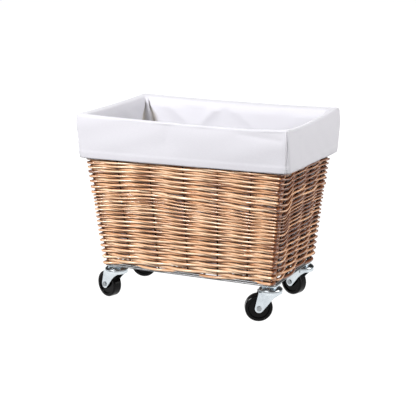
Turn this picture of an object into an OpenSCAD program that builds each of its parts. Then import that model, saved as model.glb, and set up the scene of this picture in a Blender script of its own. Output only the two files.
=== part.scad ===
// Woven willow laundry basket on a wire frame, with a fold-over cotton liner and four
// swivel castors. Millimetres, +Z up, origin on the floor under the middle of the basket.

/* [Basket] */
// Outside length of the wicker at its bottom edge
base_l = 356; // [340:2:380]
// Outside width of the wicker at its bottom edge
base_w = 208; // [198:2:226]
// Outside length of the wicker at the rim
rim_l = 420; // [410:2:422]
// Outside width of the wicker at the rim
rim_w = 262; // [250:2:264]
// Height of the rim above the floor
rim_z = 364; // [350:1:380]
// Thickness of the woven walls
wall_t = 10; // [9:0.5:12]
// Thickness of the woven bottom
floor_t = 5; // [4:0.5:8]

/* [Wire frame] */
// Diameter of the bottom ring and rim wires
ring_d = 4; // [3.6:0.2:4.6]
// Diameter of the second, thinner bottom ring
ring_upper_d = 3.2; // [2.8:0.2:3.4]
// Diameter of the upright stakes
stake_d = 3; // [2.4:0.2:3.2]
// Diameter of the wires under the woven bottom
base_wire_d = 3; // [2.4:0.2:3.2]
// Bend radius of the ring corners
corner_r = 9; // [8:1:12]

/* [Liner] */
// Thickness of the doubled cotton
cloth_t = 2; // [1.6:0.2:2.4]
// Depth of the cuff folded over the rim
cuff_h = 83; // [60:1:120]
// Gap between the cuff and the rim
cuff_gap = 1.5; // [1:0.1:3]
// Gap between the liner and the inside of the basket
liner_gap = 1; // [0.6:0.1:2]
// Height of the liner's fold above the rim
fold_rise = 3; // [2:0.5:6]

/* [Castors] */
// Wheel diameter
wheel_d = 52; // [48:1:52]
// Wheel width
wheel_w = 20; // [16:1:20]
// Axle diameter
axle_d = 6; // [5:0.5:7]
// Distance from the swivel axis back to the axle
trail = 22; // [20:0.2:23]
// Height of the top of the castor plate above the floor
plate_z = 70; // [70:0.5:71]
// Side of the square castor plate
plate_side = 32; // [30:1:34]
// Distance of the swivel axes from the middle along the length
swivel_x = 162; // [158:1:164]
// Distance of the swivel axes from the middle along the width
swivel_y = 82.5; // [80:0.5:84]
// Radius of the pressed swivel race
race_r = 22.5; // [21.5:0.5:23.5]
// Diameter of the kingpin rivet
kingpin_d = 8; // [7:0.5:9]
// Number of bearing balls in a castor
ball_count = 12; // [8:1:14]
// Turn of the front left castor about its swivel axis
turn_fl = -22; // [-180:1:180]
// Turn of the front right castor about its swivel axis
turn_fr = 28; // [-180:1:180]
// Turn of the back left castor about its swivel axis
turn_bl = 15; // [-180:1:180]
// Turn of the back right castor about its swivel axis
turn_br = -20; // [-180:1:180]

/* [Hidden] */
$fn = 48;
// Running clearance on the radius of a pin in its hole
fit_gap = 0.05;
// Clearance between faces that turn past each other
run_gap = 0.3;
// Steel sheet of the fork and the race
sheet_t = 1.8;

// Bottom ring, resting on the castor plates
ring_z = plate_z + ring_d / 2;
ring_upper_z = ring_z + ring_d / 2 + ring_upper_d / 2;
base_wire_low_z = plate_z + base_wire_d / 2;
base_wire_high_z = base_wire_low_z + base_wire_d;
floor_z = base_wire_high_z + base_wire_d / 2 + 0.2;
wicker_z = ring_upper_z + ring_upper_d / 2 + 0.2;
rim_rod_z = rim_z - ring_d;

// Half sizes of the wicker's outside at a height
function wicker_x(z) = (base_l + (rim_l - base_l) * (z - wicker_z) / (rim_z - wicker_z)) / 2;
function wicker_y(z) = (base_w + (rim_w - base_w) * (z - wicker_z) / (rim_z - wicker_z)) / 2;
// Half sizes at the middle of the wicker's thickness, where the stakes stand
function stake_x(z) = wicker_x(z) - wall_t / 2;
function stake_y(z) = wicker_y(z) - wall_t / 2;
ring_x = stake_x(wicker_z) + (stake_d + ring_d) / 2;
ring_y = stake_y(wicker_z) + (stake_d + ring_d) / 2;
rim_x = stake_x(rim_rod_z);
rim_y = stake_y(rim_rod_z);

// Places of the stakes, as shares of the half length of their wall
long_stakes = [-0.98, -0.7, -0.355, 0, 0.355, 0.7, 0.98];
side_stakes = [-0.83, -0.28, 0.28, 0.83];
// Places of the wires under the bottom
cross_wire_x = [-150, -90, -30, 30, 90, 150];
long_wire_y = [-72, 0, 72];

// Liner: outside half sizes at a height, and its levels
liner_in = wall_t + liner_gap;
liner_floor_z = floor_z + floor_t + 0.8;
fold_z = rim_z + fold_rise;
liner_top_z = fold_z + cloth_t;
cuff_z = liner_top_z - cuff_h;
cuff_x = rim_l / 2 + cuff_gap;
cuff_y = rim_w / 2 + cuff_gap;

// Castor levels, from the axle up
axle_z = wheel_d / 2;
crown_z = wheel_d + 3;
crown_rim_z = wheel_d + 1.3;
crown_top_z = crown_z + sheet_t;
crown_r = race_r - 0.5;
ball_d = 4.2;
ball_z = crown_top_z + run_gap + ball_d / 2;
ball_ring_r = 15;
race_z = ball_z + ball_d / 2 + run_gap;
plate_t = 2;
dome_r = 14;
leg_t = 1.6;
leg_y = wheel_w / 2 + 1;
rivet_head_t = 1.5;

WALLS = ["front", "back", "left", "right"];
CORNERS = [["fl", -1, -1, turn_fl], ["fr", 1, -1, turn_fr], ["bl", -1, 1, turn_bl], ["br", 1, 1, turn_br]];
CASTOR_PARTS = ["plate", "kingpin", "balls", "fork", "axle", "wheel"];
WALL_GROUPS = ["base_rod", "stakes", "rim_rod", "wicker", "liner", "liner_fold", "cuff"];
SINGLES = ["base_corner_bends", "base_wires_long", "base_wires_cross", "rim_corner_bends",
           "wicker_floor", "liner_floor"];

// A round wire between two points
module wire(a, b, d) {
    v = b - a;
    translate(a)
        rotate([0, atan2(norm([v.x, v.y]), v.z), atan2(v.y, v.x)])
            cylinder(h = norm(v), d = d);
}

// Four quarter bends of a wire ring with half sizes x and y
module ring_bends(x, y, z, d) {
    for (c = CORNERS)
        translate([c[1] * (x - corner_r), c[2] * (y - corner_r), z])
            mirror([c[1] < 0 ? 1 : 0, 0, 0])
                mirror([0, c[2] < 0 ? 1 : 0, 0])
                    rotate_extrude(angle = 90) translate([corner_r, 0]) circle(d = d);
}

// The straight run of a wire ring along one wall
module ring_run(wall, x, y, z, d) {
    if (wall == "front") wire([-(x - corner_r), -y, z], [x - corner_r, -y, z], d);
    if (wall == "back") wire([-(x - corner_r), y, z], [x - corner_r, y, z], d);
    if (wall == "left") wire([-x, -(y - corner_r), z], [-x, y - corner_r, z], d);
    if (wall == "right") wire([x, -(y - corner_r), z], [x, y - corner_r, z], d);
}

// One wall of a four-sided tapered shell, mitred at its ends. bottom and top are
// [half length, half width, height]; t is the thickness, measured inwards.
module wall_slab(wall, bottom, top, t) {
    long_side = wall == "front" || wall == "back";
    flip = wall == "front" || wall == "left" ? -1 : 1;
    ring = [for (p = [bottom, top], inset = [0, t], end = [-1, 1])
        long_side ? [end * (p[0] - inset), flip * (p[1] - inset), p[2]]
                  : [flip * (p[0] - inset), end * (p[1] - inset), p[2]]];
    // Corners 0-3 are the bottom, 4-7 the top: outer pair first, then the inner pair
    faces = [[0, 1, 3, 2], [4, 6, 7, 5], [0, 4, 5, 1], [2, 3, 7, 6], [0, 2, 6, 4], [1, 5, 7, 3]];
    turned = flip * (long_side ? 1 : -1) > 0;
    polyhedron(ring, turned ? [for (f = faces) [for (i = [3:-1:0]) f[i]]] : faces);
}

module base_rod(wall) {
    color("silver") {
        ring_run(wall, ring_x, ring_y, ring_z, ring_d);
        ring_run(wall, ring_x, ring_y, ring_upper_z, ring_upper_d);
    }
}

module base_corner_bends() {
    color("silver") {
        ring_bends(ring_x, ring_y, ring_z, ring_d);
        ring_bends(ring_x, ring_y, ring_upper_z, ring_upper_d);
    }
}

module base_wires_long() {
    end_x = ring_x - ring_d / 2;
    color("silver")
        for (y = long_wire_y)
            wire([-end_x, y, base_wire_low_z], [end_x, y, base_wire_low_z], base_wire_d);
}

module base_wires_cross() {
    end_y = ring_y - ring_upper_d / 2;
    color("silver")
        for (x = cross_wire_x)
            wire([x, -end_y, base_wire_high_z], [x, end_y, base_wire_high_z], base_wire_d);
}

// The stakes stand in the middle of the wall and end against the bottom ring and the rim rod
module stakes(wall) {
    low = ring_z;
    high = rim_rod_z - ring_d / 2 - run_gap;
    color("dimgray")
        if (wall == "front" || wall == "back") {
            side = wall == "front" ? -1 : 1;
            for (s = long_stakes)
                wire([s * stake_x(low), side * stake_y(low), low],
                     [s * stake_x(high), side * stake_y(high), high], stake_d);
        } else {
            side = wall == "left" ? -1 : 1;
            for (s = side_stakes)
                wire([side * stake_x(low), s * stake_y(low), low],
                     [side * stake_x(high), s * stake_y(high), high], stake_d);
        }
}

module rim_rod(wall) {
    color("silver") ring_run(wall, rim_x, rim_y, rim_rod_z, ring_d);
}

module rim_corner_bends() {
    color("silver") ring_bends(rim_x, rim_y, rim_rod_z, ring_d);
}

module wicker(wall) {
    color("peru")
        wall_slab(wall, [base_l / 2, base_w / 2, wicker_z], [rim_l / 2, rim_w / 2, rim_z], wall_t);
}

module wicker_floor() {
    gap = wall_t + 0.5;
    color("sandybrown")
        translate([-(base_l / 2 - gap), -(base_w / 2 - gap), floor_z])
            cube([base_l - 2 * gap, base_w - 2 * gap, floor_t]);
}

// Inner side of the liner, along the inside of the basket
module liner(wall) {
    z = liner_floor_z;
    color("white")
        wall_slab(wall,
            [wicker_x(z) - liner_in, wicker_y(z) - liner_in, z],
            [wicker_x(fold_z) - liner_in, wicker_y(fold_z) - liner_in, liner_top_z], cloth_t);
}

module liner_floor() {
    z = liner_floor_z;
    x = wicker_x(z) - liner_in - cloth_t;
    y = wicker_y(z) - liner_in - cloth_t;
    color("white") translate([-x, -y, z]) cube([2 * x, 2 * y, cloth_t]);
}

// The fold that crosses over the rim, from the inner side to the cuff
module liner_fold(wall) {
    width = cuff_x - (wicker_x(fold_z) - liner_in);
    color("white")
        wall_slab(wall, [cuff_x, cuff_y, fold_z], [cuff_x, cuff_y, liner_top_z], width);
}

// The cuff hangs straight down outside the rim, so that the liner lifts off
module cuff(wall) {
    color("whitesmoke")
        wall_slab(wall,
            [cuff_x + cloth_t, cuff_y + cloth_t, cuff_z],
            [cuff_x + cloth_t, cuff_y + cloth_t, liner_top_z], cloth_t);
}

// Square plate with rounded corners
module rounded_plate(side, r, t) {
    half = side / 2 - r;
    linear_extrude(t) {
        square([side, side - 2 * r], center = true);
        square([side - 2 * r, side], center = true);
        for (x = [-half, half], y = [-half, half]) translate([x, y]) circle(r);
    }
}

// Welded top plate and the pressed race under it
module castor_plate() {
    hole = kingpin_d / 2 + fit_gap;
    under = plate_z - plate_t;
    color("lightsteelblue")
        difference() {
            union() {
                translate([0, 0, under]) rounded_plate(plate_side, 4, plate_t);
                rotate_extrude() polygon([
                    [hole, under], [dome_r, under], [race_r - 1, under - 6],
                    [race_r, under - 7.5], [race_r, race_z - 1.8],
                    [race_r - sheet_t, race_z - 1.8], [race_r - sheet_t, race_z],
                    [hole, race_z], [hole, race_z + 1.4], [race_r - 2.7, race_z + 1.4],
                    [dome_r - 1, under - 1.6], [hole, under - 1.6]
                ]);
            }
            translate([0, 0, under - 1]) cylinder(h = plate_t + 2, r = hole);
        }
}

// Rivet that holds the fork up against the race
module castor_kingpin() {
    low_head = 2.6;
    color("silver") {
        translate([0, 0, crown_z - run_gap - low_head / 2])
            cylinder(h = plate_z - crown_z + run_gap + low_head / 2, d = kingpin_d);
        translate([0, 0, crown_z - run_gap - low_head]) cylinder(h = low_head, r = 7);
        translate([0, 0, plate_z]) cylinder(h = rivet_head_t, r = 6);
    }
}

module castor_balls() {
    color("gainsboro")
        for (i = [0:ball_count - 1])
            rotate([0, 0, i * 360 / ball_count])
                translate([ball_ring_r, 0, ball_z]) sphere(d = ball_d, $fn = 24);
}

// Outline of a fork leg, seen along the axle, with the axle's eye at the origin
module leg_outline() {
    eye_r = 8;
    drop = crown_z - axle_z;
    polygon([
        [-1.6, drop], [-eye_r * cos(14), eye_r * sin(14)], [0, -eye_r], [eye_r * cos(34), -eye_r * sin(34)],
        [trail - 8, 4], [trail, 14], [trail + 7, 20.5], [trail + 14, 25], [trail + 14.7, drop]
    ]);
    circle(eye_r);
}

// Crown with a rolled rim, and two legs to the axle
module castor_fork() {
    hole = kingpin_d / 2 + fit_gap;
    outer_y = leg_y + leg_t;
    color("lightsteelblue")
        difference() {
            union() {
                rotate_extrude() polygon([
                    [hole, crown_z], [crown_r - 2.5, crown_z], [crown_r - 1.8, crown_rim_z],
                    [crown_r, crown_rim_z], [crown_r, crown_top_z + 1.7],
                    [crown_r - 1.8, crown_top_z + 1.7], [crown_r - 2.8, crown_top_z],
                    [hole, crown_top_z]
                ]);
                difference() {
                    translate([-trail - 1.6, -outer_y, crown_z])
                        cube([trail + 1.6 + 14.7, 2 * outer_y, sheet_t]);
                    translate([0, 0, crown_z - 1]) cylinder(h = sheet_t + 2, r = crown_r - 3);
                }
                for (side = [-1, 1])
                    translate([-trail, side * (leg_y + leg_t / 2), axle_z])
                        rotate([90, 0, 0])
                            linear_extrude(leg_t, center = true) leg_outline();
            }
            translate([-trail, 0, axle_z]) rotate([90, 0, 0])
                cylinder(h = 4 * leg_y, d = axle_d + 2 * fit_gap, center = true);
        }
}

// Riveted axle
module castor_axle() {
    head_y = leg_y + leg_t + fit_gap;
    color("silver")
        translate([-trail, 0, axle_z]) rotate([90, 0, 0]) {
            cylinder(h = 2 * head_y + rivet_head_t, d = axle_d, center = true);
            for (side = [0, 1])
                mirror([0, 0, side]) translate([0, 0, head_y]) cylinder(h = rivet_head_t, r = 4.8);
        }
}

// Moulded wheel: hub, recessed web and a rounded tread
module castor_wheel() {
    bore = axle_d / 2 + fit_gap;
    r = wheel_d / 2;
    half = wheel_w / 2;
    edge = 3.4;
    tread = [for (a = [0:15:90]) [r - edge + edge * cos(a), half - 0.4 - edge + edge * sin(a)]];
    side = concat(tread, [[r - 6, half - 0.4], [r - 7.5, half - 3], [9.5, half - 3], [8.5, half], [bore, half]]);
    far_side = [for (i = [len(side) - 1:-1:0]) [side[i].x, -side[i].y]];
    color("#1a1a1a")
        translate([-trail, 0, axle_z]) rotate([90, 0, 0])
            rotate_extrude($fn = 96) polygon(concat(side, far_side));
}

base_corner_bends();
base_wires_long();
base_wires_cross();
rim_corner_bends();
wicker_floor();
liner_floor();
for (w = WALLS) {
    base_rod(w);
    stakes(w);
    rim_rod(w);
    wicker(w);
    liner(w);
    liner_fold(w);
    cuff(w);
}
for (c = CORNERS)
    translate([c[1] * swivel_x, c[2] * swivel_y, 0]) {
        castor_plate();
        castor_kingpin();
        castor_balls();
        rotate([0, 0, c[3]]) {
            castor_fork();
            castor_axle();
            castor_wheel();
        }
    }
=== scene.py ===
import math

import bpy
import numpy as np
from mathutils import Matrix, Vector


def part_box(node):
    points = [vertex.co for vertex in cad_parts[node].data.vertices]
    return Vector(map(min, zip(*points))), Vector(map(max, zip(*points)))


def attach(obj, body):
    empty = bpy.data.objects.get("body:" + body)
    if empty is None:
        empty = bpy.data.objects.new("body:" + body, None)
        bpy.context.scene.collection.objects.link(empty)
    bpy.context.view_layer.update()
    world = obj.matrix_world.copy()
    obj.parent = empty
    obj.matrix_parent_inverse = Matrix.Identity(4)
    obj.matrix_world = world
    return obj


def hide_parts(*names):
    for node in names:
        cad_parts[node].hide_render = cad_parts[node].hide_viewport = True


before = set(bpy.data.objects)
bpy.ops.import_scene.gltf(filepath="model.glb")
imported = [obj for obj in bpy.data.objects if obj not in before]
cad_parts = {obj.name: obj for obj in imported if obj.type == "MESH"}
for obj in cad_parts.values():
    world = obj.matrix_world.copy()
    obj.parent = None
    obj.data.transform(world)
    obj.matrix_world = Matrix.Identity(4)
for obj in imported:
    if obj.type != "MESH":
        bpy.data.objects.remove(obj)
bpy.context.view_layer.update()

# --- sizes, in metres, from the CAD nodes' own boxes ---------------------------------------------

WALL_T = 0.010  # thickness of the CAD's wicker slab
STAKE_IN = 0.005  # the stakes' plane is this far inside the wicker's outer face
front_low, front_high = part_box("wicker_front")
right_low, right_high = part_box("wicker_right")
FOOT_Z, RIM_Z = front_low.z, front_high.z
FOOT_HALF = np.array([right_low.x + WALL_T - STAKE_IN, -front_high.y + WALL_T - STAKE_IN])
RIM_HALF = np.array([right_high.x - STAKE_IN, -front_low.y - STAKE_IN])
STAKES_LONG = [-0.98, -0.7, -0.355, 0, 0.355, 0.7, 0.98]  # shares of the half length
STAKES_SIDE = [-0.83, -0.28, 0.28, 0.83]  # shares of the half width
RIM_ROD_Z = (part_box("rim_rod_front")[0].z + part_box("rim_rod_front")[1].z) / 2
floor_low, floor_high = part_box("wicker_floor")
cuff_low, cuff_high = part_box("cuff_front")
CUFF_HALF = np.array([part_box("cuff_right")[1].x, -cuff_low.y])
HEM_Z, CUFF_TOP_Z = cuff_low.z, cuff_high.z
LINER_FLOOR_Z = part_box("liner_floor")[1].z

rng = np.random.default_rng(21)


def half_at(z):
    """Half length and half width of the stakes' plane at height z, which may be an array."""
    share = (np.asarray(z, float) - FOOT_Z) / (RIM_Z - FOOT_Z)
    return FOOT_HALF + share[..., None] * (RIM_HALF - FOOT_HALF)


def smooth(low, high, x):
    """0 below low, 1 above high, and a smooth step between."""
    t = np.clip((np.asarray(x, float) - low) / (high - low), 0, 1)
    return t * t * (3 - 2 * t)


def waves(x, seed, length, count=5):
    """A smooth random curve of x from about -1 to 1, with bumps about as long as length."""
    draw = np.random.default_rng(seed)
    total = np.zeros_like(np.asarray(x, float))
    for _ in range(count):
        total += np.sin(2 * np.pi * x / (length * draw.uniform(0.7, 2.2)) + draw.uniform(0, 6.3))
    return total / count**0.5


def ripples(points, seed, length, count=7):
    """A smooth random field over points (n, 3), from about -1 to 1."""
    draw = np.random.default_rng(seed)
    total = np.zeros(len(points))
    for _ in range(count):
        way = draw.normal(size=3)
        way *= 2 * np.pi / (length * draw.uniform(0.7, 2.0) * np.linalg.norm(way))
        total += np.sin(points @ way + draw.uniform(0, 6.3))
    return total / count**0.5


# --- meshes --------------------------------------------------------------------------------------


class Rods:
    """Collects round rods and makes one mesh of them, with each point's place on its own rod."""

    def __init__(self):
        self.points, self.faces, self.on_rod, self.tone, self.count = [], [], [], [], 0

    def add(self, path, radius, sides=9, tone=0.5, up=(0.0, 0.0, 1.0), flat=1.0, crevice=0.0):
        """A rod with closed ends along path. radius, tone and flat are a value or one a point.
        flat stretches the rod along up, and the last argument paints shade along its upper and
        lower edges."""
        path = np.asarray(path, float)
        n = len(path)
        radius = np.broadcast_to(np.asarray(radius, float), (n,))
        along = np.gradient(path, axis=0)
        along /= np.linalg.norm(along, axis=1)[:, None]
        up = np.broadcast_to(np.asarray(up, float), (n, 3))
        side = np.cross(along, up)
        side /= np.linalg.norm(side, axis=1)[:, None]
        top = np.cross(side, along)
        turn = 2 * np.pi * np.arange(sides) / sides
        tall = radius * np.broadcast_to(flat, (n,))
        ring = (
            path[:, None]
            + radius[:, None, None] * np.cos(turn)[None, :, None] * side[:, None]
            + tall[:, None, None] * np.sin(turn)[None, :, None] * top[:, None]
        )
        run = np.concatenate([[0], np.cumsum(np.linalg.norm(np.diff(path, axis=0), axis=1))])
        start, shift = self.count, rng.uniform(0, 9)
        place = np.stack(
            [
                np.broadcast_to((run + shift)[:, None], (n, sides)),
                radius[:, None] * np.cos(turn)[None],
                radius[:, None] * np.sin(turn)[None],
            ],
            axis=-1,
        )
        i, k = np.meshgrid(np.arange(n - 1), np.arange(sides), indexing="ij")
        a, b = start + i * sides + k, start + i * sides + (k + 1) % sides
        self.faces.extend(np.stack([a, a + sides, b + sides, b], -1).reshape(-1, 4).tolist())
        self.faces.append([start + x for x in range(sides)])
        self.faces.append([start + (n - 1) * sides + x for x in reversed(range(sides))])
        self.points.append(ring.reshape(-1, 3))
        self.on_rod.append(place.reshape(-1, 3))
        # painted shade along the rod's upper and lower edges, where it beds into its neighbours
        dark = crevice * smooth(0.45, 1.0, np.abs(np.sin(turn)))
        self.tone.append((np.broadcast_to(tone, (n,))[:, None] - dark[None]).ravel())
        self.count += n * sides

    def make(self, name, material, body):
        """The mesh object, riding on body."""
        made = mesh_object(name, np.concatenate(self.points), self.faces, material, body)
        set_attribute(made, "on_rod", "FLOAT_VECTOR", np.concatenate(self.on_rod))
        set_attribute(made, "tone", "FLOAT", np.concatenate(self.tone))
        return made


def set_attribute(made, name, kind, values):
    """Stores one value a point on the mesh, for its material."""
    layer = made.data.attributes.new(name, kind, "POINT")
    key = "vector" if kind == "FLOAT_VECTOR" else "value"
    layer.data.foreach_set(key, np.asarray(values, np.float32).ravel())


def mesh_object(name, points, faces, material, body):
    """A smooth-shaded mesh that rides on a CAD body and takes a material slot's finish."""
    mesh = bpy.data.meshes.new(name)
    mesh.from_pydata(np.asarray(points).tolist(), [], faces)
    mesh.polygons.foreach_set("use_smooth", np.ones(len(mesh.polygons), bool))
    mesh.validate()
    mesh.materials.append(material)
    made = bpy.data.objects.new(name, mesh)
    bpy.context.scene.collection.objects.link(made)
    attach(made, body)
    return made


# --- materials -----------------------------------------------------------------------------------


class Shader:
    """A material's node tree, with short ways to add to it."""

    def __init__(self, name):
        self.material = bpy.data.materials.new(name)
        self.material.use_nodes = True
        self.tree = self.material.node_tree
        self.main = self.tree.nodes["Principled BSDF"]

    def node(self, kind, **settings):
        made = self.tree.nodes.new(kind)
        for key, value in settings.items():
            setattr(made, key, value)
        return made

    def link(self, source, target):
        self.tree.links.new(source, target)

    def attribute(self, name):
        return self.node("ShaderNodeAttribute", attribute_name=name)

    def stretched(self, source, scale):
        """source's vector, times scale on each axis."""
        made = self.node("ShaderNodeVectorMath", operation="MULTIPLY")
        self.link(source, made.inputs[0])
        made.inputs[1].default_value = scale
        return made.outputs["Vector"]

    def noise(self, vector, scale, detail=3.0, roughness=0.5):
        made = self.node("ShaderNodeTexNoise")
        self.link(vector, made.inputs["Vector"])
        made.inputs["Scale"].default_value = scale
        made.inputs["Detail"].default_value = detail
        made.inputs["Roughness"].default_value = roughness
        return made.outputs["Fac"]

    def ramp(self, value, *stops):
        """A colour ramp of (position, (r, g, b)) stops."""
        made = self.node("ShaderNodeValToRGB")
        elements = made.color_ramp.elements
        while len(elements) < len(stops):
            elements.new(0.5)
        for element, (position, colour) in zip(elements, stops):
            element.position, element.color = position, (*colour, 1)
        self.link(value, made.inputs["Fac"])
        return made.outputs["Color"]

    def sums(self, operation, a, b):
        made = self.node("ShaderNodeMath", operation=operation)
        for socket, value in zip(made.inputs, (a, b)):
            if isinstance(value, (int, float)):
                socket.default_value = value
            else:
                self.link(value, socket)
        return made.outputs["Value"]

    def span(self, value, low, high, new_low, new_high):
        """value from low..high brought to new_low..new_high."""
        made = self.node("ShaderNodeMapRange")
        self.link(value, made.inputs["Value"])
        for key, number in zip(
            ("From Min", "From Max", "To Min", "To Max"), (low, high, new_low, new_high)
        ):
            made.inputs[key].default_value = number
        return made.outputs["Result"]

    def mix(self, share, a, b):
        """a where share is 0 and b where it is 1; each is a colour or a socket."""
        made = self.node("ShaderNodeMix", data_type="RGBA")
        for socket, value in zip((made.inputs[0], made.inputs[6], made.inputs[7]), (share, a, b)):
            if isinstance(value, (int, float)):
                socket.default_value = value
            elif isinstance(value, tuple):
                socket.default_value = (*value, 1)
            else:
                self.link(value, socket)
        return made.outputs[2]

    def bump(self, height, depth, strength=1.0, under=None):
        made = self.node("ShaderNodeBump")
        made.inputs["Strength"].default_value = strength
        made.inputs["Distance"].default_value = depth
        self.link(height, made.inputs["Height"])
        if under is not None:
            self.link(under, made.inputs["Normal"])
        return made.outputs["Normal"]

    def place(self):
        """The point's place on the object, in metres."""
        return self.node("ShaderNodeTexCoord").outputs["Object"]

    def finish(self, colour=None, roughness=None, normal=None, **fixed):
        """Links or sets the shader's own sockets."""
        for key, value in (("Base Color", colour), ("Roughness", roughness), ("Normal", normal)):
            if value is None:
                continue
            if isinstance(value, tuple):
                self.main.inputs[key].default_value = (*value, 1)
            elif isinstance(value, float):
                self.main.inputs[key].default_value = value
            else:
                self.link(value, self.main.inputs[key])
        for key, value in fixed.items():
            self.main.inputs[key.replace("_", " ")].default_value = value
        return self.material


def willow(name, pale, mid, deep):
    """Peeled, steamed willow: each rod has its own tone, streaks, a few knots and a soft polish."""
    s = Shader(name)
    on_rod = s.attribute("on_rod").outputs["Vector"]
    # the tone attribute is each rod's own tone less its painted shade
    tone = s.attribute("tone").outputs["Fac"]
    slow = s.noise(s.stretched(on_rod, (14, 90, 90)), 1.0, 3.0)
    streak = s.noise(s.stretched(on_rod, (45, 1500, 1500)), 1.0, 4.0, 0.6)
    value = s.sums("ADD", tone, s.span(slow, 0.3, 0.7, -0.28, 0.28))
    value = s.sums("ADD", value, s.span(streak, 0.3, 0.7, -0.14, 0.14))
    colour = s.ramp(value, (0.0, deep), (0.45, mid), (1.0, pale))
    knots = s.node("ShaderNodeTexVoronoi")
    s.link(s.stretched(on_rod, (22, 170, 170)), knots.inputs["Vector"])
    knots.inputs["Scale"].default_value = 1.0
    spot = s.span(knots.outputs["Distance"], 0.10, 0.2, 0.75, 0.0)
    colour = s.mix(spot, colour, (0.16, 0.06, 0.025))
    bump = s.bump(streak, 0.00025, 0.6)
    bump = s.bump(slow, 0.0006, 0.5, bump)
    rough = s.span(streak, 0.3, 0.7, 0.24, 0.38)
    polish = {"Specular_IOR_Level": 0.6, "Coat_Weight": 0.4, "Coat_Roughness": 0.16}
    return s.finish(colour, rough, bump, **polish)


def cotton():
    """White cotton twill: fine threads, slight slubs and soft creasing, with painted shade inside
    the bag.
    Its corner pleats carry a warmer, darker painted shade."""
    s = Shader("cotton_twill")
    place = s.place()
    slubs = s.noise(s.stretched(place, (260, 260, 900)), 1.0, 4.0)
    threads = s.node("ShaderNodeTexWave", wave_type="BANDS", bands_direction="DIAGONAL")
    s.link(place, threads.inputs["Vector"])
    threads.inputs["Scale"].default_value = 210.0
    threads.inputs["Distortion"].default_value = 0.6
    threads.inputs["Detail Scale"].default_value = 30.0
    crease = s.noise(place, 34.0, 5.0, 0.55)
    colour = s.mix(s.span(slubs, 0.3, 0.7, 0.0, 1.0), (0.725, 0.722, 0.775), (0.755, 0.752, 0.80))
    inside, pleat = (s.attribute(name).outputs["Fac"] for name in ("inside", "pleat"))
    # painted shade: greyer on the cloth's face inside the bag
    colour = s.mix(inside, colour, (0.672, 0.670, 0.714))
    # painted shade, warmer and darker, deep in the corner pleats
    colour = s.mix(pleat, colour, (0.60, 0.56, 0.515))
    bump = s.bump(threads.outputs["Fac"], 0.0001, 0.25)
    bump = s.bump(slubs, 0.00012, 0.3, bump)
    bump = s.bump(crease, 0.0009, 0.35, bump)
    return s.finish(colour, 0.9, bump, Sheen_Weight=0.15, Specular_IOR_Level=0.2)


def metal(name, light, dark, rough_low, rough_high, spangle=180.0, depth=0.0001):
    """Plated steel: cloudy plating, fine scratches and duller patches."""
    s = Shader(name)
    place = s.place()
    cloud = s.noise(place, spangle, 5.0, 0.6)
    scratch = s.noise(s.stretched(place, (300, 2500, 900)), 1.0, 4.0, 0.6)
    colour = s.mix(s.span(cloud, 0.35, 0.65, 0.0, 1.0), dark, light)
    rough = s.sums(
        "ADD",
        s.span(cloud, 0.3, 0.7, rough_low, rough_high),
        s.span(scratch, 0.35, 0.65, -0.05, 0.05),
    )
    bump = s.bump(scratch, depth, 0.3)
    bump = s.bump(cloud, depth * 2, 0.4, bump)
    return s.finish(colour, rough, bump, Metallic=1.0)


def black_plastic():
    """Glossy moulded black nylon, with dust and fine scuffs."""
    s = Shader("wheel_nylon")
    place = s.place()
    scuff = s.noise(s.stretched(place, (700, 160, 700)), 1.0, 5.0, 0.65)
    dust = s.noise(place, 60.0, 5.0, 0.6)
    dusty = s.span(dust, 0.55, 0.8, 0.0, 0.5)
    colour = s.mix(dusty, (0.002, 0.002, 0.0022), (0.008, 0.008, 0.0085))
    rough = s.sums("ADD", s.span(scuff, 0.35, 0.7, 0.14, 0.3), s.span(dust, 0.5, 0.8, 0.0, 0.15))
    bump = s.bump(scuff, 0.00008, 0.3)
    return s.finish(colour, rough, bump, Specular_IOR_Level=0.12)


WILLOW = willow("peeled_willow", (1.0, 0.74, 0.50), (0.84, 0.45, 0.23), (0.20, 0.066, 0.025))
COTTON = cotton()
FRAME_WIRE = metal(
    "galvanised_wire", (0.20, 0.203, 0.207), (0.13, 0.13, 0.133), 0.34, 0.48, 60.0, 0.00003
)
# The stake wire is given a near-black colour: painted shade for the deep crevices of the weave it
# sits in.
STAKE_WIRE = metal("stake_wire", (0.03, 0.028, 0.025), (0.015, 0.014, 0.013), 0.4, 0.6)
ZINC = metal("zinc_sheet", (0.70, 0.755, 0.79), (0.56, 0.61, 0.645), 0.18, 0.3, 45.0, 0.00002)
RIVET = metal("rivet_steel", (0.36, 0.38, 0.40), (0.26, 0.28, 0.29), 0.2, 0.32, 90.0, 0.00002)
BALLS = metal("ball_steel", (0.75, 0.75, 0.75), (0.6, 0.6, 0.6), 0.08, 0.2, 500.0)
NYLON = black_plastic()
SLOT_LOOKS = {
    "frame_wire": FRAME_WIRE,
    "stake_wire": STAKE_WIRE,
    "willow": WILLOW,
    "cotton": COTTON,
    "zinc_sheet": ZINC,
    "rivet_steel": RIVET,
    "ball_steel": BALLS,
    "wheel_black": NYLON,
}


def dress_cad_nodes():
    """Gives every carried-over CAD node the look of its material slot."""
    for name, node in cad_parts.items():
        slot = slot_of(name)
        node.data.materials.clear()
        node.data.materials.append(SLOT_LOOKS[slot])


def slot_of(name):
    """The record's material slot of a CAD node, by the node's name."""
    ends = {
        "plate": "zinc_sheet",
        "fork": "zinc_sheet",
        "kingpin": "rivet_steel",
        "axle": "rivet_steel",
        "balls": "ball_steel",
        "wheel": "wheel_black",
    }
    if name.startswith("castor_"):
        return ends[name.rsplit("_", 1)[1]]
    starts = {"wicker": "willow", "liner": "cotton", "cuff": "cotton", "stakes": "stake_wire"}
    return starts.get(name.split("_")[0], "frame_wire")


# --- the wicker ----------------------------------------------------------------------------------

BAND_Z = 0.219  # where a second set of thicker rods starts
ROW_CORNER_R = 0.0007
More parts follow.
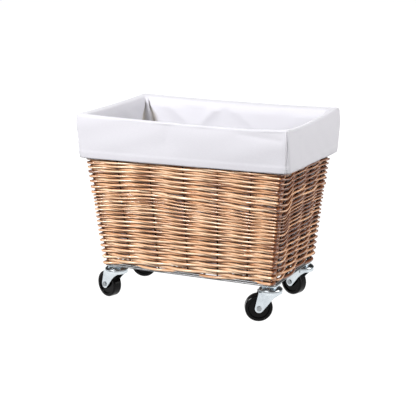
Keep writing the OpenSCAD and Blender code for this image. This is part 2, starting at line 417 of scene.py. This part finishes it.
# The rows' pitch, as (height, pitch), in the lower and in the upper set of rods.
LOW_PITCH = [(0.077, 0.0062), (0.100, 0.0056), (0.120, 0.0052), (0.140, 0.0047),
             (0.160, 0.0042), (0.180, 0.00385), (0.198, 0.0033), (0.212, 0.0030)]
HIGH_PITCH = [(0.219, 0.0054), (0.240, 0.0049), (0.255, 0.0044), (0.270, 0.0042),
              (0.285, 0.0040), (0.354, 0.0036)]
FIRST_ROW_Z = 0.0768
SLANT = 0.12  # how far each stroke climbs, as a share of a rod's thickness
# How far the weave stands outside the stakes' plane: on the short sides, on the long sides.
GROW = np.array([0.0022, 0.0026])
FOOT_SWAY = 0.0011  # how far the lowest rows wander up and down
ROW_SWAY = 0.0005  # how far every row does
PASS_GAP = 0.0018  # a rod's middle passes a stake's middle at its own radius and this much more
TUCK_IN = 0.0030  # how far a rod's ends tuck in, to lie behind their neighbours
TONE_MEAN, TONE_SPREAD = 0.68, 0.2  # the willow's tone, rod by rod
FOOT_SEED, REACH_SEED, THICK_SEED = 70, 500, 900
LAST_ROW_Z = RIM_ROD_Z - 0.0062


def row_heights(pitches, start, stop):
    """Heights of the rows from start up to stop, with the pitch read off a short list."""
    z, rows = start, []
    heights, steps = zip(*pitches)
    while z < stop:
        rows.append(z)
        z += float(np.interp(z, heights, steps))
    return rows


def loop_line(samples=9000):
    """The rows' line round the basket at the foot: its points, outward normals and distances.
    It runs through the stakes, and turns sharply at the last stake of each long side."""
    a, b = FOOT_HALF
    end, side = STAKES_LONG[-1] * a, STAKES_SIDE[-1] * b
    spots = [(-end, -b), (end, -b), (a, -side), (a, side)]
    spots += [(-x, -y) for x, y in spots]
    line, normals = [], []
    for i, spot in enumerate(spots):
        before, here, after = (np.array(spots[(i + k) % 8]) for k in (-1, 0, 1))
        way_in, way_out = here - before, after - here
        first = math.atan2(way_in[1], way_in[0]) - math.pi / 2
        bend = (math.atan2(way_out[1], way_out[0]) - math.pi / 2 - first) % math.tau
        last = first + bend
        for turn in np.linspace(first, last, 24):
            out = np.array([math.cos(turn), math.sin(turn)])
            line.append(here + ROW_CORNER_R * out)
            normals.append(out)
    line, normals = np.array(line), np.array(normals)
    shut = np.concatenate([line, line[:1]])
    run = np.concatenate([[0], np.cumsum(np.linalg.norm(np.diff(shut, axis=0), axis=1))])
    even = np.linspace(0, run[-1], samples, endpoint=False)
    shut_normals = np.concatenate([normals, normals[:1]])
    out = np.stack([np.interp(even, run, shut[:, k]) for k in (0, 1)], -1)
    facing = np.stack([np.interp(even, run, shut_normals[:, k]) for k in (0, 1)], -1)
    facing /= np.linalg.norm(facing, axis=1)[:, None]
    return even, out, facing, run[-1]


LOOP_S, LOOP_XY, LOOP_OUT, LOOP_LENGTH = loop_line()


def stake_distances():
    """How far along the loop each stake is, going round from the front left."""
    a, b = FOOT_HALF
    spots = [(f * a, -b) for f in STAKES_LONG] + [(a, f * b) for f in STAKES_SIDE]
    spots += [(-f * a, b) for f in STAKES_LONG] + [(-a, -f * b) for f in STAKES_SIDE]
    found = [LOOP_S[np.argmin(np.linalg.norm(LOOP_XY - np.array(p), axis=1))] for p in spots]
    found = np.array(found)
    return np.sort(np.where(found > LOOP_LENGTH - 0.006, found - LOOP_LENGTH, found))


STAKE_S = stake_distances()
STAKES = len(STAKE_S)
CORNER_S = STAKE_S[[0, 6, 11, 17]]  # the last stakes of the long sides


def sample_bays(per_bay=12, per_corner=7):
    """Distances along the loop, finer round the corner stakes, and the stake count at each."""
    ends = np.append(STAKE_S, STAKE_S[0] + LOOP_LENGTH)
    s = []
    for i in range(STAKES):
        n = per_corner if ends[i + 1] - ends[i] < 0.03 else per_bay
        s.append(ends[i] + np.arange(n) / n * (ends[i + 1] - ends[i]))
    for corner in CORNER_S:
        s.append(corner + np.array([-0.0022, -0.0011, -0.0006, -0.0003, 0.0003, 0.0006, 0.0011]))
    s = np.concatenate(s)
    s = np.sort(np.where(s < STAKE_S[0], s + LOOP_LENGTH, s))
    return s, np.interp(s, ends, np.arange(STAKES + 1))


ROW_S, ROW_T = sample_bays()


def loop_at(s):
    """Point (as a share of the half sizes) and outward normal of the loop at distances s."""
    s = np.mod(s, LOOP_LENGTH)
    spot = np.stack(
        [np.interp(s, LOOP_S, LOOP_XY[:, k], period=LOOP_LENGTH) for k in (0, 1)], -1
    )
    out = np.stack(
        [np.interp(s, LOOP_S, LOOP_OUT[:, k], period=LOOP_LENGTH) for k in (0, 1)], -1
    )
    return spot / FOOT_HALF, out / np.linalg.norm(out, axis=-1)[:, None]


def corner_share(s):
    """1 at the corner stakes, falling to 0 a little way along the walls, at distances s."""
    gap = np.abs(s[:, None] - CORNER_S[None])
    gap = np.minimum(gap, LOOP_LENGTH - gap).min(1)
    return np.exp(-((gap / 0.006) ** 2))


ROW_CORNER = corner_share(ROW_S)
LEFT_PAINTED_SHADE, RIGHT_PAINTED_SHADE = 0.2, 0.52  # painted shade: the short sides' willow is made this much darker, for the light that reaches them less
BEND_PAINTED_SHADE = 0.46  # and painted shade deeper still where the rods bend round onto the right side
REAR_SHADE = 0.60  # and right behind a stake, in its shadow
CREVICE_SHADE = 0.62  # and painted shade along their upper and lower edges, where they bed into each other
REAR_TALL = 0.48  # how much taller a rod is pressed where it passes behind a stake

# The joint between the two sets of rods rises and falls: (stake count, rise in metres).
DRIFT = [(-0.4, -0.001), (0.8, 0.0022), (2.0, 0.0068), (3.0, 0.0016), (4.0, -0.001), (5.0, -0.0062),
         (6.0, -0.0076), (7.0, -0.0086), (7.6, 0.0045), (9.0, 0.0034), (10.2, 0.0015),
         (12.0, -0.004), (14.0, 0.004), (16.0, -0.002), (18.0, 0.003), (20.0, -0.003),
         (21.6, -0.001)]


def drift(t, z):
    """How far the rows near the joint between the two sets of rods wander up or down."""
    places, rises = zip(*DRIFT)
    rise = np.interp(np.mod(t + 0.4, STAKES) - 0.4, places, rises)
    for _ in range(6):
        rise = (np.roll(rise, 1) + 2 * rise + np.roll(rise, -1)) / 4
    below, above = BAND_Z - z, z - BAND_Z
    fall = np.exp(-((below / 0.05) ** 2)) if z < BAND_Z else np.exp(-above / 0.06)
    return rise * fall


def weave_row(rods, index, z, radius, parity):
    """One row: two rods end to end round the basket, before and behind the stakes by turns."""
    sway = radius + PASS_GAP
    height = z + drift(ROW_T, z) + ROW_SWAY * waves(ROW_T, index, 5.0)
    height += FOOT_SWAY * math.exp(-index / 1.5) * waves(ROW_T, FOOT_SEED + index // 2, 3.5)
    side = np.cos(np.pi * (ROW_T + parity))
    # Each stroke climbs a little as it passes a stake, while the row stays level.
    climb = np.sin(np.pi * (ROW_T + parity)) * (1 - ROW_CORNER) * 2 * radius
    climb *= 1 - 0.7 * smooth(0.255, 0.285, z)  # less near the cuff
    height += SLANT * climb
    reach = sway * (1 + 0.05 * waves(ROW_T, index + REACH_SEED, 3.0)) * side
    reach *= np.where(side < 0, 1 - 0.3 * ROW_CORNER, 1)
    spot, out = loop_at(ROW_S)
    wider = GROW * (1 - smooth(0.285, 0.330, height))[:, None]  # not under the cuff
    flat = spot * (half_at(height) + wider) + out * reach[:, None]
    soft = (ROW_CORNER * (side < 0))[:, None]
    for _ in range(6):
        flat += 0.5 * soft * ((np.roll(flat, -1, 0) + np.roll(flat, 1, 0)) / 2 - flat)
    ring = np.concatenate([flat, height[:, None]], 1)
    thick = radius * (1 + 0.06 * waves(ROW_T, index + THICK_SEED, 6.0))
    first = int(rng.integers(len(ring)))
    ring, thick = np.roll(ring, -first, 0), np.roll(thick, -first)
    outward, bend = np.roll(out, -first, 0), np.roll(ROW_CORNER, -first)
    rear = np.clip(-np.roll(side, -first), 0, 1)
    ease = 0.1 + 0.45 * (1 + np.roll(side, -first))  # behind a stake it hardly tucks in
    half = len(ring) // 2 + int(rng.integers(-25, 25))
    for start, stop in ((0, half), (half, len(ring))):
        some = np.arange(start, stop + 5) % len(ring)
        path, fat = ring[some].copy(), thick[some].copy()
        share = np.linspace(0, 1, len(some))
        fat *= 1.06 - 0.16 * share if rng.random() < 0.5 else 0.90 + 0.16 * share
        tuck = np.clip(1 - np.arange(len(some)) / 5, 0, 1) ** 2
        tuck_end = tuck[::-1]
        lean = 0.0028 * tuck - 0.0022 * tuck_end
        path[:, :2] -= outward[some] * (TUCK_IN * ease[some] * (tuck + tuck_end))[:, None]
        path[:, 2] += lean * 0.5
        tone = float(np.clip(rng.normal(TONE_MEAN, TONE_SPREAD), 0.1, 1.1))
        # Painted shade, taken off each rod's tone: on the short sides, at the bend onto the right
        # side and just behind each stake.
        facing = outward[some, 0]
        shade = RIGHT_PAINTED_SHADE * smooth(0.1, 0.75, facing) + LEFT_PAINTED_SHADE * smooth(0.1, 0.75, -facing)
        shade += BEND_PAINTED_SHADE * bend[some] * smooth(-0.1, 0.3, facing) + REAR_SHADE * rear[some] ** 26
        rods.add(path, fat, 12, tone - shade, flat=1.0 + REAR_TALL * rear[some], crevice=CREVICE_SHADE)


def rod_radius(pitch):
    """About half the rows' pitch; the finest rods are thicker and bed into each other."""
    return 0.5 * (0.86 * pitch + 0.0007)


def weave_walls():
    """The four woven walls, in bands of rows so that no one mesh is too heavy."""
    low = row_heights(LOW_PITCH, FIRST_ROW_Z, BAND_Z - 0.002)
    high = row_heights(HIGH_PITCH, low[-1] + (LOW_PITCH[-1][1] + HIGH_PITCH[0][1]) / 2, LAST_ROW_Z)
    rows = [(z, LOW_PITCH) for z in low] + [(z, HIGH_PITCH) for z in high]
    cuts = [0, 16, len(low), len(low) + len(high) // 2, len(rows)]
    names = ["weave_foot", "weave_lower", "weave_upper", "weave_rim"]
    for name, start, stop in zip(names, cuts, cuts[1:]):
        rods = Rods()
        for index in range(start, stop):
            z, pitches = rows[index]
            heights, steps = zip(*pitches)
            radius = rod_radius(float(np.interp(z, heights, steps)))
            weave_row(rods, index, z, radius, index % 2)
        made = rods.make(name, WILLOW, "basket")
        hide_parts(*(f"wicker_{wall}" for wall in ("front", "back", "left", "right")))


def weave_floor():
    """The woven bottom: split willow laid over and under thin sticks."""
    rods = Rods()
    a, b = floor_high.x - 0.002, floor_high.y - 0.002
    z = (floor_low.z + floor_high.z) / 2
    sticks = np.linspace(-b + 0.008, b - 0.008, 9)
    for y in sticks:
        x = np.linspace(-a, a, 40)
        path = np.stack([x, np.full(40, y), np.full(40, z)], -1)
        rods.add(path, 0.0011, 8, float(rng.uniform(0.2, 0.6)))
    splits = np.linspace(-a + 0.003, a - 0.003, 62)
    step = sticks[1] - sticks[0]
    for k, x in enumerate(splits):
        y = np.linspace(-b, b, 60)
        lift = 0.0019 * np.cos(np.pi * ((y - sticks[0]) / step + k))
        path = np.stack([np.full(60, x) + 0.0006 * waves(y, k, 0.1), y, z + lift], -1)
        rods.add(path, 0.0026, 8, float(np.clip(rng.normal(0.45, 0.18), 0, 1)), flat=0.32)
    made = rods.make("woven_bottom", WILLOW, "basket")
    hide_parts("wicker_floor")


def bind_rim():
    """Split willow wound round the rim wire."""
    rods = Rods()
    turns = int(LOOP_LENGTH * 1.2 / 0.0052)
    steps = turns * 10
    s = np.linspace(0, LOOP_LENGTH, steps, endpoint=False)
    spot, out = loop_at(s)
    angle = 2 * np.pi * turns * np.arange(steps) / steps
    radius = 0.0025
    centre = spot * half_at(np.full(steps, RIM_ROD_Z))
    away = np.concatenate([out * np.cos(angle)[:, None], np.sin(angle)[:, None]], 1)
    path = np.concatenate([centre, np.full((steps, 1), RIM_ROD_Z)], 1) + radius * away
    rods.add(path, 0.0019, 6, 0.5, up=away, flat=0.36)
    rods.make("rim_binding", WILLOW, "basket")


# --- the liner -----------------------------------------------------------------------------------

CLOTH_T = 0.0012
LINER_IN = 0.0082  # the middle of the bag's cloth is this far inside the stakes' plane
ROOM = 0.0013  # the most the bag's sides bulge out; the corner pleats come on top of it
BAG_CORNER_R = 0.030
BAG_FOOT_R = 0.008  # rounding between the bag's bottom and its sides
PLEAT_DEEP = 0.0070  # how far each corner pleat is pushed out
BOTTOM, SIDE, FOLD, CUFF = range(4)  # the liner's zones, from its middle to its hem
CUFF_TOP_R, CUFF_HEM_R = 0.0065, 0.016
CUFF_TOP_HALF = CUFF_HALF + np.array([-0.0009, 0.0028])  # its long sides lean out
CUFF_HEM_HALF = CUFF_HALF + np.array([0.0000, -0.0004])
CUFF_BELLY = 0.0016  # how far the cuff bulges between its fold and its hem
HEM_DEEP = 0.014
INNER_TOP_Z = CUFF_TOP_Z - 0.0170
# The fold, from the inner wall to the cuff: share of the way across, metres below the CAD's top.
FOLD_SECTION = [(0.04, 0.0134), (0.08, 0.0104), (0.13, 0.0076), (0.19, 0.0053), (0.27, 0.0035),
                (0.37, 0.0024), (0.50, 0.0016), (0.63, 0.0009), (0.75, 0.0004), (0.85, 0.0002),
                (0.92, 0.0005), (0.97, 0.0013), (0.995, 0.0024)]
CORNER_STEPS = 18
LONG_STEPS, SIDE_STEPS = 96, 62


def wall_shares(steps):
    """Places along a wall from -1 to 1, closer together near its ends."""
    even = np.linspace(-1, 1, steps + 1)[1:-1]
    return 0.72 * even + 0.28 * np.sin(even * np.pi / 2)


def ring_plan():
    """Which wall or corner each point of a ring belongs to: (corner, turn 0-1) or (wall, share)."""
    plan = []
    for k in range(4):
        steps = LONG_STEPS if k % 2 == 0 else SIDE_STEPS
        plan += [("wall", k, f) for f in wall_shares(steps)]
        plan += [("corner", k, t) for t in np.linspace(0, 1, CORNER_STEPS + 1)]
    return plan


PLAN = ring_plan()
WALLS = ["front", "right", "back", "left"]
# Corner k lies between wall k and wall k + 1; the walls are front, right, back, left.
CORNER_SIGN = [(1, -1), (1, 1), (-1, 1), (-1, -1)]


def ring_points(half, radius):
    """Points of a rounded rectangle, with the same plan at every size."""
    a, b = half
    points = []
    for kind, k, share in PLAN:
        if kind == "corner":
            sx, sy = CORNER_SIGN[k]
            turn = math.radians(-90 + 90 * k + 90 * share)
            points.append(
                (sx * (a - radius) + radius * math.cos(turn),
                 sy * (b - radius) + radius * math.sin(turn))
            )
        else:
            run = [(a - radius) * share, (b - radius) * share]
            points.append([(run[0], -b), (a, run[1]), (-run[0], b), (-a, -run[1])][k])
    return np.array(points)


def ring_normals():
    """Outward directions of a ring's points."""
    out = []
    for kind, k, share in PLAN:
        turn = math.radians(-90 + 90 * k + (90 * share if kind == "corner" else 0))
        out.append((math.cos(turn), math.sin(turn)))
    return np.array(out)


RING_OUT = ring_normals()


# How far the fold sags between two corners, in metres, and where along the wall it is lowest.
SAGS = {
    "front": (0.0036, 0.25),
    "right": (0.0044, -0.35),
    "back": (0.0024, 0.1),
    "left": (0.0020, 0.1),
}
PEAK = 0.0013  # how far the fold's corners stand above the CAD's flat fold
HEM_RISE = 0.0052  # how far the hem is pulled up at the front right corner


def fold_rise():
    """How much higher or lower than the CAD's flat fold the cloth's top edge is, point by point."""
    rise = []
    for kind, k, share in PLAN:
        if kind == "corner":
            rise.append(PEAK - 0.0006 * (1 - math.sin(math.pi * share)))
            continue
        deep, lowest = SAGS[WALLS[k]]
        lowest *= -1 if k > 1 else 1  # the back and the left walls run the other way
        lean = share - lowest * (1 - share**2)
        rise.append(PEAK - 0.0006 - deep * (1 - abs(lean) ** 2.4))
    return np.array(rise)


def hem_rise(xy):
    """How far the hem stands above the CAD's level hem."""
    a, b = CUFF_HEM_HALF
    front = np.clip((xy[:, 0] + a) / (2 * a), 0, 1) * np.clip((b - xy[:, 1]) / (2 * b), 0, 1)
    return HEM_RISE * front


def liner_profile():
    """The bag's section from the middle of its bottom, up inside, over the rim and down the cuff.
    Each step: half length, half width, height, corner radius, share of the fold's rise, zone."""
    steps = []
    foot = half_at(np.array(LINER_FLOOR_Z)) - LINER_IN
    for share in (0.02, 0.2, 0.4, 0.6, 0.78, 0.9):
        steps.append((*(foot * share), LINER_FLOOR_Z, BAG_CORNER_R * share, 0.0, BOTTOM))
    for turn in (0, 30, 60, 90):
        c, s = math.cos(math.radians(turn)), math.sin(math.radians(turn))
        half = foot - BAG_FOOT_R * (1 - s)
        height = LINER_FLOOR_Z + BAG_FOOT_R * (1 - c)
        steps.append((*half, height, BAG_CORNER_R, 0.0, BOTTOM))
    top_z = CUFF_TOP_Z - 0.004
    for z in np.linspace(LINER_FLOOR_Z + 0.014, INNER_TOP_Z, 52):
        half = half_at(np.array(z)) - LINER_IN
        radius = BAG_CORNER_R - 0.016 * float(smooth(0.325, INNER_TOP_Z, z))
        steps.append((*half, z, radius, float(smooth(0.30, top_z, z)), SIDE))
    inner = half_at(np.array(INNER_TOP_Z)) - LINER_IN
    for across, drop in FOLD_SECTION:
        half = inner + across * (CUFF_TOP_HALF - inner)
        radius = 0.014 + across**2 * (CUFF_TOP_R - 0.014)
        steps.append((*half, CUFF_TOP_Z - drop, radius, 1.0, FOLD))
    for z in np.linspace(top_z, HEM_Z, 34):
        share = float(smooth(HEM_Z, top_z, z))
        level = (z - HEM_Z) / (top_z - HEM_Z)
        belly = CUFF_BELLY * (1 - abs(2 * level - 1) ** 3)
        half = CUFF_HEM_HALF + level * (CUFF_TOP_HALF - CUFF_HEM_HALF) + belly
        radius = CUFF_HEM_R + level * (CUFF_TOP_R - CUFF_HEM_R)
        steps.append((*half, z, radius, share, CUFF))
    return steps


# Folds pressed into the cloth: zone, wall, start and end (along the wall, height), width, depth.
FOLDS = [
    (SIDE, "back", (-0.034, 0.362), (-0.070, 0.322), 0.010, 0.0058),
    (SIDE, "back", (-0.012, 0.364), (0.050, 0.318), 0.015, 0.0050),
    (SIDE, "back", (-0.022, 0.366), (-0.030, 0.310), 0.004, -0.0030),
    (SIDE, "back", (-0.160, 0.366), (-0.085, 0.312), 0.014, 0.0058),
    (SIDE, "back", (-0.150, 0.368), (-0.030, 0.345), 0.012, -0.0018),
    (SIDE, "back", (0.170, 0.364), (0.110, 0.330), 0.016, 0.0030),
    (SIDE, "left", (0.020, 0.355), (0.100, 0.300), 0.016, 0.0035),
    (SIDE, "left", (-0.060, 0.352), (-0.045, 0.330), 0.006, 0.0028),
    (CUFF, "front", (-0.020, 0.362), (-0.026, 0.330), 0.010, -0.0010),
    (CUFF, "front", (0.120, 0.357), (0.206, 0.350), 0.006, -0.0013),
    (CUFF, "front", (-0.030, 0.358), (-0.024, 0.296), 0.020, -0.0012),
    (CUFF, "right", (-0.075, 0.360), (-0.070, 0.300), 0.010, 0.0008),
]


def press_folds(points, zones, walls):
    """Moves the points in or out beside the fold lines, and returns the moves."""
    moved = np.zeros(len(points))
    for zone, wall, start, end, width, depth in FOLDS:
        k = WALLS.index(wall)
        along = points[:, 0] if k % 2 == 0 else points[:, 1]
        spot = np.stack([along, points[:, 2]], -1)
        start, end = np.array(start), np.array(end)
        line = end - start
        share = np.clip(((spot - start) @ line) / (line @ line), 0, 1)
        gap = np.linalg.norm(spot - (start + share[:, None] * line), axis=1)
        strong = 0.35 + 0.65 * np.sin(np.pi * (0.12 + 0.8 * share))  # strongest near its middle
        near = depth * np.exp(-((gap / width) ** 1.4)) * strong
        moved += np.where((zones == zone) & (walls == k), near, 0)
    return moved


def corner_pleats(points, zones, plan_corner, plan_turn):
    """Two open pleats beside the seam in each inner corner, closed at the top and wider below:
    how far they are pushed out, and how deep in a pleat each point is, 0-1."""
    open_share = smooth(CUFF_TOP_Z - 0.001, 0.348, points[:, 2]) * smooth(0.09, 0.18, points[:, 2])
    width = 0.07 + 0.05 * smooth(CUFF_TOP_Z - 0.004, 0.325, points[:, 2])
    wave = sum(np.exp(-(((plan_turn - middle) / width) ** 2)) for middle in (0.30, 0.70))
    ridge = np.exp(-(((plan_turn - 0.5) / 0.06) ** 2))
    inside = ((zones == SIDE) | (zones == FOLD)) & plan_corner
    push = open_share * (PLEAT_DEEP * wave - 0.0030 * ridge)
    return np.where(inside, push, 0), np.where(inside, np.clip(open_share * wave, 0, 1), 0)


def corner_seam(points, zones, plan_corner, plan_turn):
    """The cuff's seam: a fine groove down the corner with a raised lip beside it."""
    groove = -0.0013 * np.exp(-(((plan_turn - 0.5) / 0.075) ** 2))
    lip = 0.0010 * np.exp(-(((plan_turn - 0.31) / 0.08) ** 2))
    return np.where((zones == CUFF) & plan_corner, groove + lip, 0)


def surface_normals(grid):
    """Unit normals of a ring-by-ring grid of points, facing the cloth's inner side."""
    along = np.roll(grid, -1, 1) - np.roll(grid, 1, 1)
    up = np.gradient(grid, axis=0)
    normal = np.cross(up, along)
    length = np.linalg.norm(normal, axis=-1, keepdims=True)
    return normal / np.maximum(length, 1e-12)


def make_liner():
    """The cotton bag with its fold over the rim and its cuff, as one thick cloth."""
    steps = liner_profile()
    n = len(PLAN)
    rise = fold_rise()
    hem_lift = hem_rise(ring_points(CUFF_HEM_HALF, CUFF_HEM_R))
    grid, zones = [], []
    for a, b, z, radius, lift, zone in steps:
        xy = ring_points((a, b), radius)
        height = z + rise * lift + (hem_lift * (1 - lift) if zone == CUFF else 0)
        grid.append(np.concatenate([xy, height[:, None]], 1))
        zones.append(np.full(n, zone))
    grid, zones = np.array(grid), np.concatenate(zones)
    points = grid.reshape(-1, 3)
    rows = len(steps)
    corner = np.tile([kind == "corner" for kind, _, _ in PLAN], rows)
    turn = np.tile([share if kind == "corner" else 0.0 for kind, _, share in PLAN], rows)
    walls = np.tile([k if kind == "wall" else -1 for kind, k, _ in PLAN], rows)
    out = np.tile(RING_OUT, (rows, 1))
    pressed = press_folds(points, zones, walls)
    push = np.where(zones == SIDE, -pressed, pressed)
    soft = np.where(zones == SIDE, 0.0022, np.where(zones == CUFF, 0.0009, 0.0004))
    push += soft * ripples(points * np.array([1, 1, 0.6]), 5, 0.11)
    push = np.where((zones == SIDE) & (push > 0), ROOM * np.tanh(push / ROOM), push)
    pleat_push, pleat = corner_pleats(points, zones, corner, turn)
    push += pleat_push
    push += corner_seam(points, zones, corner, turn)
    push += np.where(zones == CUFF, 0.0004, 0) * ripples(points, 6, 0.035)
    push *= np.where(zones == BOTTOM, 0, 1)
    points[:, :2] += out * push[:, None]
    points[:, 2] += np.where(zones == BOTTOM, 0.0012, 0) * ripples(points, 8, 0.05)
    grid = points.reshape(rows, n, 3)
    normal = surface_normals(grid)
    run = np.concatenate(
        [[0], np.cumsum(np.linalg.norm(np.diff(grid, axis=0), axis=-1).mean(1))]
    )
    hem = smooth(HEM_DEEP + 0.0008, HEM_DEEP - 0.0008, run[-1] - run)
    thick = CLOTH_T * (1 + 0.9 * hem)
    inner = grid + normal * (thick / 2)[:, None, None]
    outer = grid - normal * (thick / 2)[:, None, None]
    made = cloth_mesh(inner, outer)
    over = np.array([step[5] for step in steps])
    # painted shade: the bag's inner face, below the fold, is made greyer
    inside_shade = np.where(over < FOLD, 1.0, 0.0)
    for _ in range(4):
        inside_shade[1:-1] = (inside_shade[:-2] + 2 * inside_shade[1:-1] + inside_shade[2:]) / 4
    plain = np.zeros(rows * n)  # the cloth's other face
    set_attribute(made, "inside", "FLOAT", np.concatenate([np.repeat(inside_shade, n), plain]))
    # painted shade deep in the corner pleats, on the bag's inner face only
    set_attribute(made, "pleat", "FLOAT", np.concatenate([pleat, plain]))
    return made, sheet_area(grid)


def cloth_mesh(inner, outer):
    """Closes two grids of rings into one solid cloth with a hem edge."""
    rows, n = inner.shape[:2]
    points = np.concatenate([inner.reshape(-1, 3), outer.reshape(-1, 3)])
    shift = rows * n
    i, k = np.meshgrid(np.arange(rows - 1), np.arange(n), indexing="ij")
    a, b = i * n + k, i * n + (k + 1) % n
    quads = np.stack([a, b, b + n, a + n], -1).reshape(-1, 4)
    faces = quads[:, ::-1].tolist() + (quads + shift).tolist()
    last = (rows - 1) * n
    faces += [
        [last + x, last + (x + 1) % n, shift + last + (x + 1) % n, shift + last + x][::-1]
        for x in range(n)
    ]
    faces.append(list(range(n)))
    faces.append([shift + x for x in reversed(range(n))])
    return mesh_object("cotton_liner", points, faces, COTTON, "liner")


def sheet_area(grid):
    """Area of one side of the cloth."""
    a = np.roll(grid, -1, 1)[:-1] - grid[:-1]
    b = grid[1:] - grid[:-1]
    return float(np.linalg.norm(np.cross(a, b), axis=-1).sum())


def build_liner():
    """Makes the liner and stands it for the CAD's slabs."""
    made, area = make_liner()
    walls = ("front", "back", "left", "right")
    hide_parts("liner_floor", *(f"liner_{w}" for w in walls))
    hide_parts(*(f"liner_fold_{w}" for w in walls), *(f"cuff_{w}" for w in walls))


# --- the picture ---------------------------------------------------------------------------------


FLOOR_HALF = 60.0
WORLD_LOW, WORLD_HIGH = 0.36, 0.40  # strength of the surroundings below and above
WORLD_DARK = 0.42  # the share of it that is left behind the photographer
DARK_WAY = (0.42, -0.90, 0.1)  # the way from the object to the photographer
CAMERA_AZIMUTH, CAMERA_ELEVATION = 24.82, 13.78
CAMERA_DISTANCE = 2.588
CAMERA_TARGET = Vector((-0.0037, 0.0, 0.1789))
CAMERA_LENS = 115.8
LIGHTS_AIM = (0, 0, 0.2)
# Each light's name, place, size, power in watts and colour.
LIGHTS = [
    ("key", (-0.95, -2.55, 1.52), 0.5, 102, (1.0, 0.988, 0.985)),
    ("top", (-0.3, -0.5, 2.6), 0.9, 11, (1, 1, 1)),
    ("side_fill", (2.6, 0.2, 1.0), 1.8, 68, (1.0, 0.985, 0.97)),
    ("rear_fill", (-1.3, 2.6, 1.3), 1.8, 60, (1.0, 0.99, 0.98)),
]


def area_light(name, place, size, power, colour):
    """A square light that shines on the basket."""
    data = bpy.data.lights.new(name, "AREA")
    data.size, data.energy, data.color = size, power, colour
    made = bpy.data.objects.new(name, data)
    made.location = place
    made.rotation_euler = (Vector(LIGHTS_AIM) - Vector(place)).to_track_quat("-Z", "Y").to_euler()
    bpy.context.scene.collection.objects.link(made)


def spread(tree, way, axis, reach, levels):
    """A level that changes smoothly with how far the direction way points along axis."""
    along = tree.nodes.new("ShaderNodeVectorMath")
    along.operation = "DOT_PRODUCT"
    along.inputs[1].default_value = axis
    tree.links.new(way, along.inputs[0])
    level = tree.nodes.new("ShaderNodeMapRange")
    level.interpolation_type = "SMOOTHSTEP"
    for key, value in zip(("From Min", "From Max", "To Min", "To Max"), (*reach, *levels)):
        level.inputs[key].default_value = value
    tree.links.new(along.outputs["Value"], level.inputs["Value"])
    return level.outputs["Result"]


def set_stage():
    """White floor, and dark grey surroundings that are darker still behind the photographer."""
    floor = bpy.data.meshes.new("studio_floor")
    size = FLOOR_HALF
    floor.from_pydata(
        [(-size, -size, 0), (size, -size, 0), (size, size, 0), (-size, size, 0)], [], [(0, 1, 2, 3)]
    )
    made = bpy.data.objects.new("studio_floor", floor)
    bpy.context.scene.collection.objects.link(made)
    s = Shader("studio_white")
    s.finish((0.1, 0.1, 0.1), 0.9, None, Emission_Color=(1, 1, 1, 1), Emission_Strength=1.0)
    floor.materials.append(s.material)
    made.visible_diffuse = False
    world = bpy.data.worlds.new("studio")
    bpy.context.scene.world = world
    world.use_nodes = True
    tree = world.node_tree
    way = tree.nodes.new("ShaderNodeTexCoord").outputs["Generated"]
    height = spread(tree, way, (0, 0, 1), (-0.1, 0.15), (WORLD_LOW, WORLD_HIGH))
    room = spread(tree, way, DARK_WAY, (0.25, 0.9), (1.0, WORLD_DARK))
    product = tree.nodes.new("ShaderNodeMath")
    product.operation = "MULTIPLY"
    tree.links.new(height, product.inputs[0])
    tree.links.new(room, product.inputs[1])
    tree.links.new(product.outputs["Value"], tree.nodes["Background"].inputs["Strength"])
    bpy.context.scene.view_settings.view_transform = "Standard"


def set_camera():
    """The view of the photo."""
    a, e = math.radians(CAMERA_AZIMUTH), math.radians(CAMERA_ELEVATION)
    back = Vector((math.sin(a) * math.cos(e), -math.cos(a) * math.cos(e), math.sin(e)))
    data = bpy.data.cameras.new("camera")
    data.lens, data.sensor_width = CAMERA_LENS, 36.0
    made = bpy.data.objects.new("camera", data)
    made.location = CAMERA_TARGET + back * CAMERA_DISTANCE
    made.rotation_euler = (-back).to_track_quat("-Z", "Y").to_euler()
    bpy.context.scene.collection.objects.link(made)
    bpy.context.scene.camera = made


def set_lights():
    """Soft light from the front left and above, with fills from the right and from behind."""
    for light in LIGHTS:
        area_light(*light)


dress_cad_nodes()
weave_walls()
weave_floor()
bind_rim()
build_liner()
set_stage()
set_camera()
set_lights()
